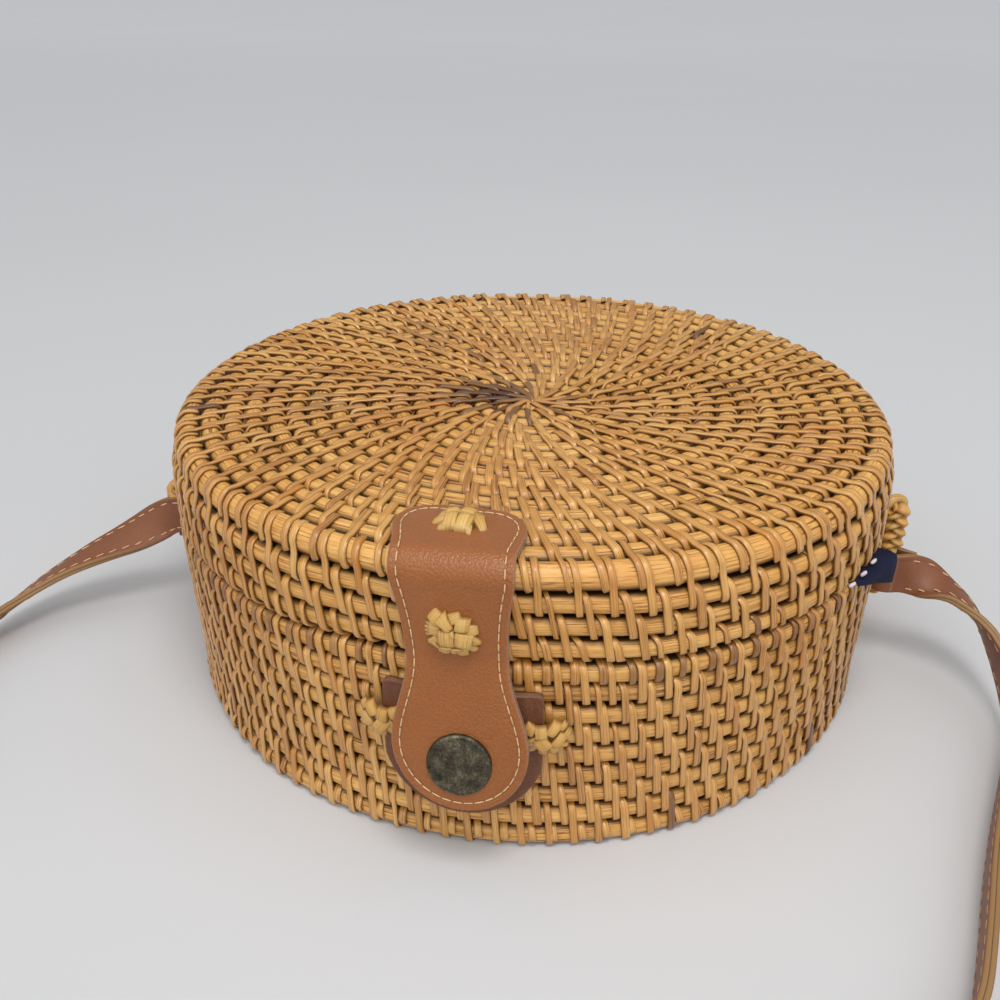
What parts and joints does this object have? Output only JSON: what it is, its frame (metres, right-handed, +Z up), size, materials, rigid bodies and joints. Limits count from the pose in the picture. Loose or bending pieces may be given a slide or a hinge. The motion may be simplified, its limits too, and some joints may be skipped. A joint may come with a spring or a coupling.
{
  "type": "circle bag",
  "caption": "Round crossbody bag of coiled rattan with a hinged lid, leather press-stud clasp, cotton lining and a long leather strap gathered in a tied hank.",
  "frame": {"origin": "centre of the resting face under the base", "axes": "+Z up through the lid, -Y towards the clasp, +Y towards the hinge"},
  "size_m": [0.3019, 0.3637, 0.0843],
  "materials": {
    "rattan": "coiled and wrapped rattan, varnished honey tan",
    "leather": "reddish brown pebbled leather with a soft sheen",
    "leather_dark": "darker brown leather",
    "antique_metal": "dark antique bronze",
    "navy_cotton": "navy cotton with small pale spots"
  },
  "bodies": {
    "base": {"base_floor": "rattan", "base_wall": "rattan", "base_rim": "rattan", "tab_knot_left": "rattan", "tab_knot_right": "rattan", "strap_loop_left": "rattan", "strap_loop_right": "rattan", "hinge_lacing_left": "rattan", "hinge_lacing_right": "rattan", "strap_left": "leather", "strap_right": "leather", "strap_hank": "leather", "strap_end_left": "leather", "strap_end_right": "leather", "snap_tab": "leather_dark", "strap_tie": "leather_dark", "snap_stud": "antique_metal", "base_lining": "navy_cotton", "lid_stay_left": "navy_cotton", "lid_stay_right": "navy_cotton"},
    "lid": {"lid_top": "rattan", "lid_corner_rod": "rattan", "lid_wall": "rattan", "lid_rim": "rattan", "lid_lining": "navy_cotton", "flap_upper": "leather", "flap_knot_top": "rattan", "flap_knot_front": "rattan"},
    "flap": {"flap_lower": "leather", "snap_cap": "antique_metal", "snap_socket": "antique_metal"}
  },
  "joints": [
    {"name": "lid_hinge", "type": "hinge", "parent": "base", "child": "lid", "pos_m": [0, 0.10085, 0.0537], "axis": [-1, 0, 0], "range_deg": [0, 75], "deforming": ["hinge_lacing_left", "hinge_lacing_right", "lid_stay_left", "lid_stay_right"]},
    {"name": "clasp_flap", "type": "hinge", "parent": "lid", "child": "flap", "pos_m": [0, -0.1019, 0.0558], "axis": [-1, 0, 0], "range_deg": [-1.8, 75]}
  ]
}
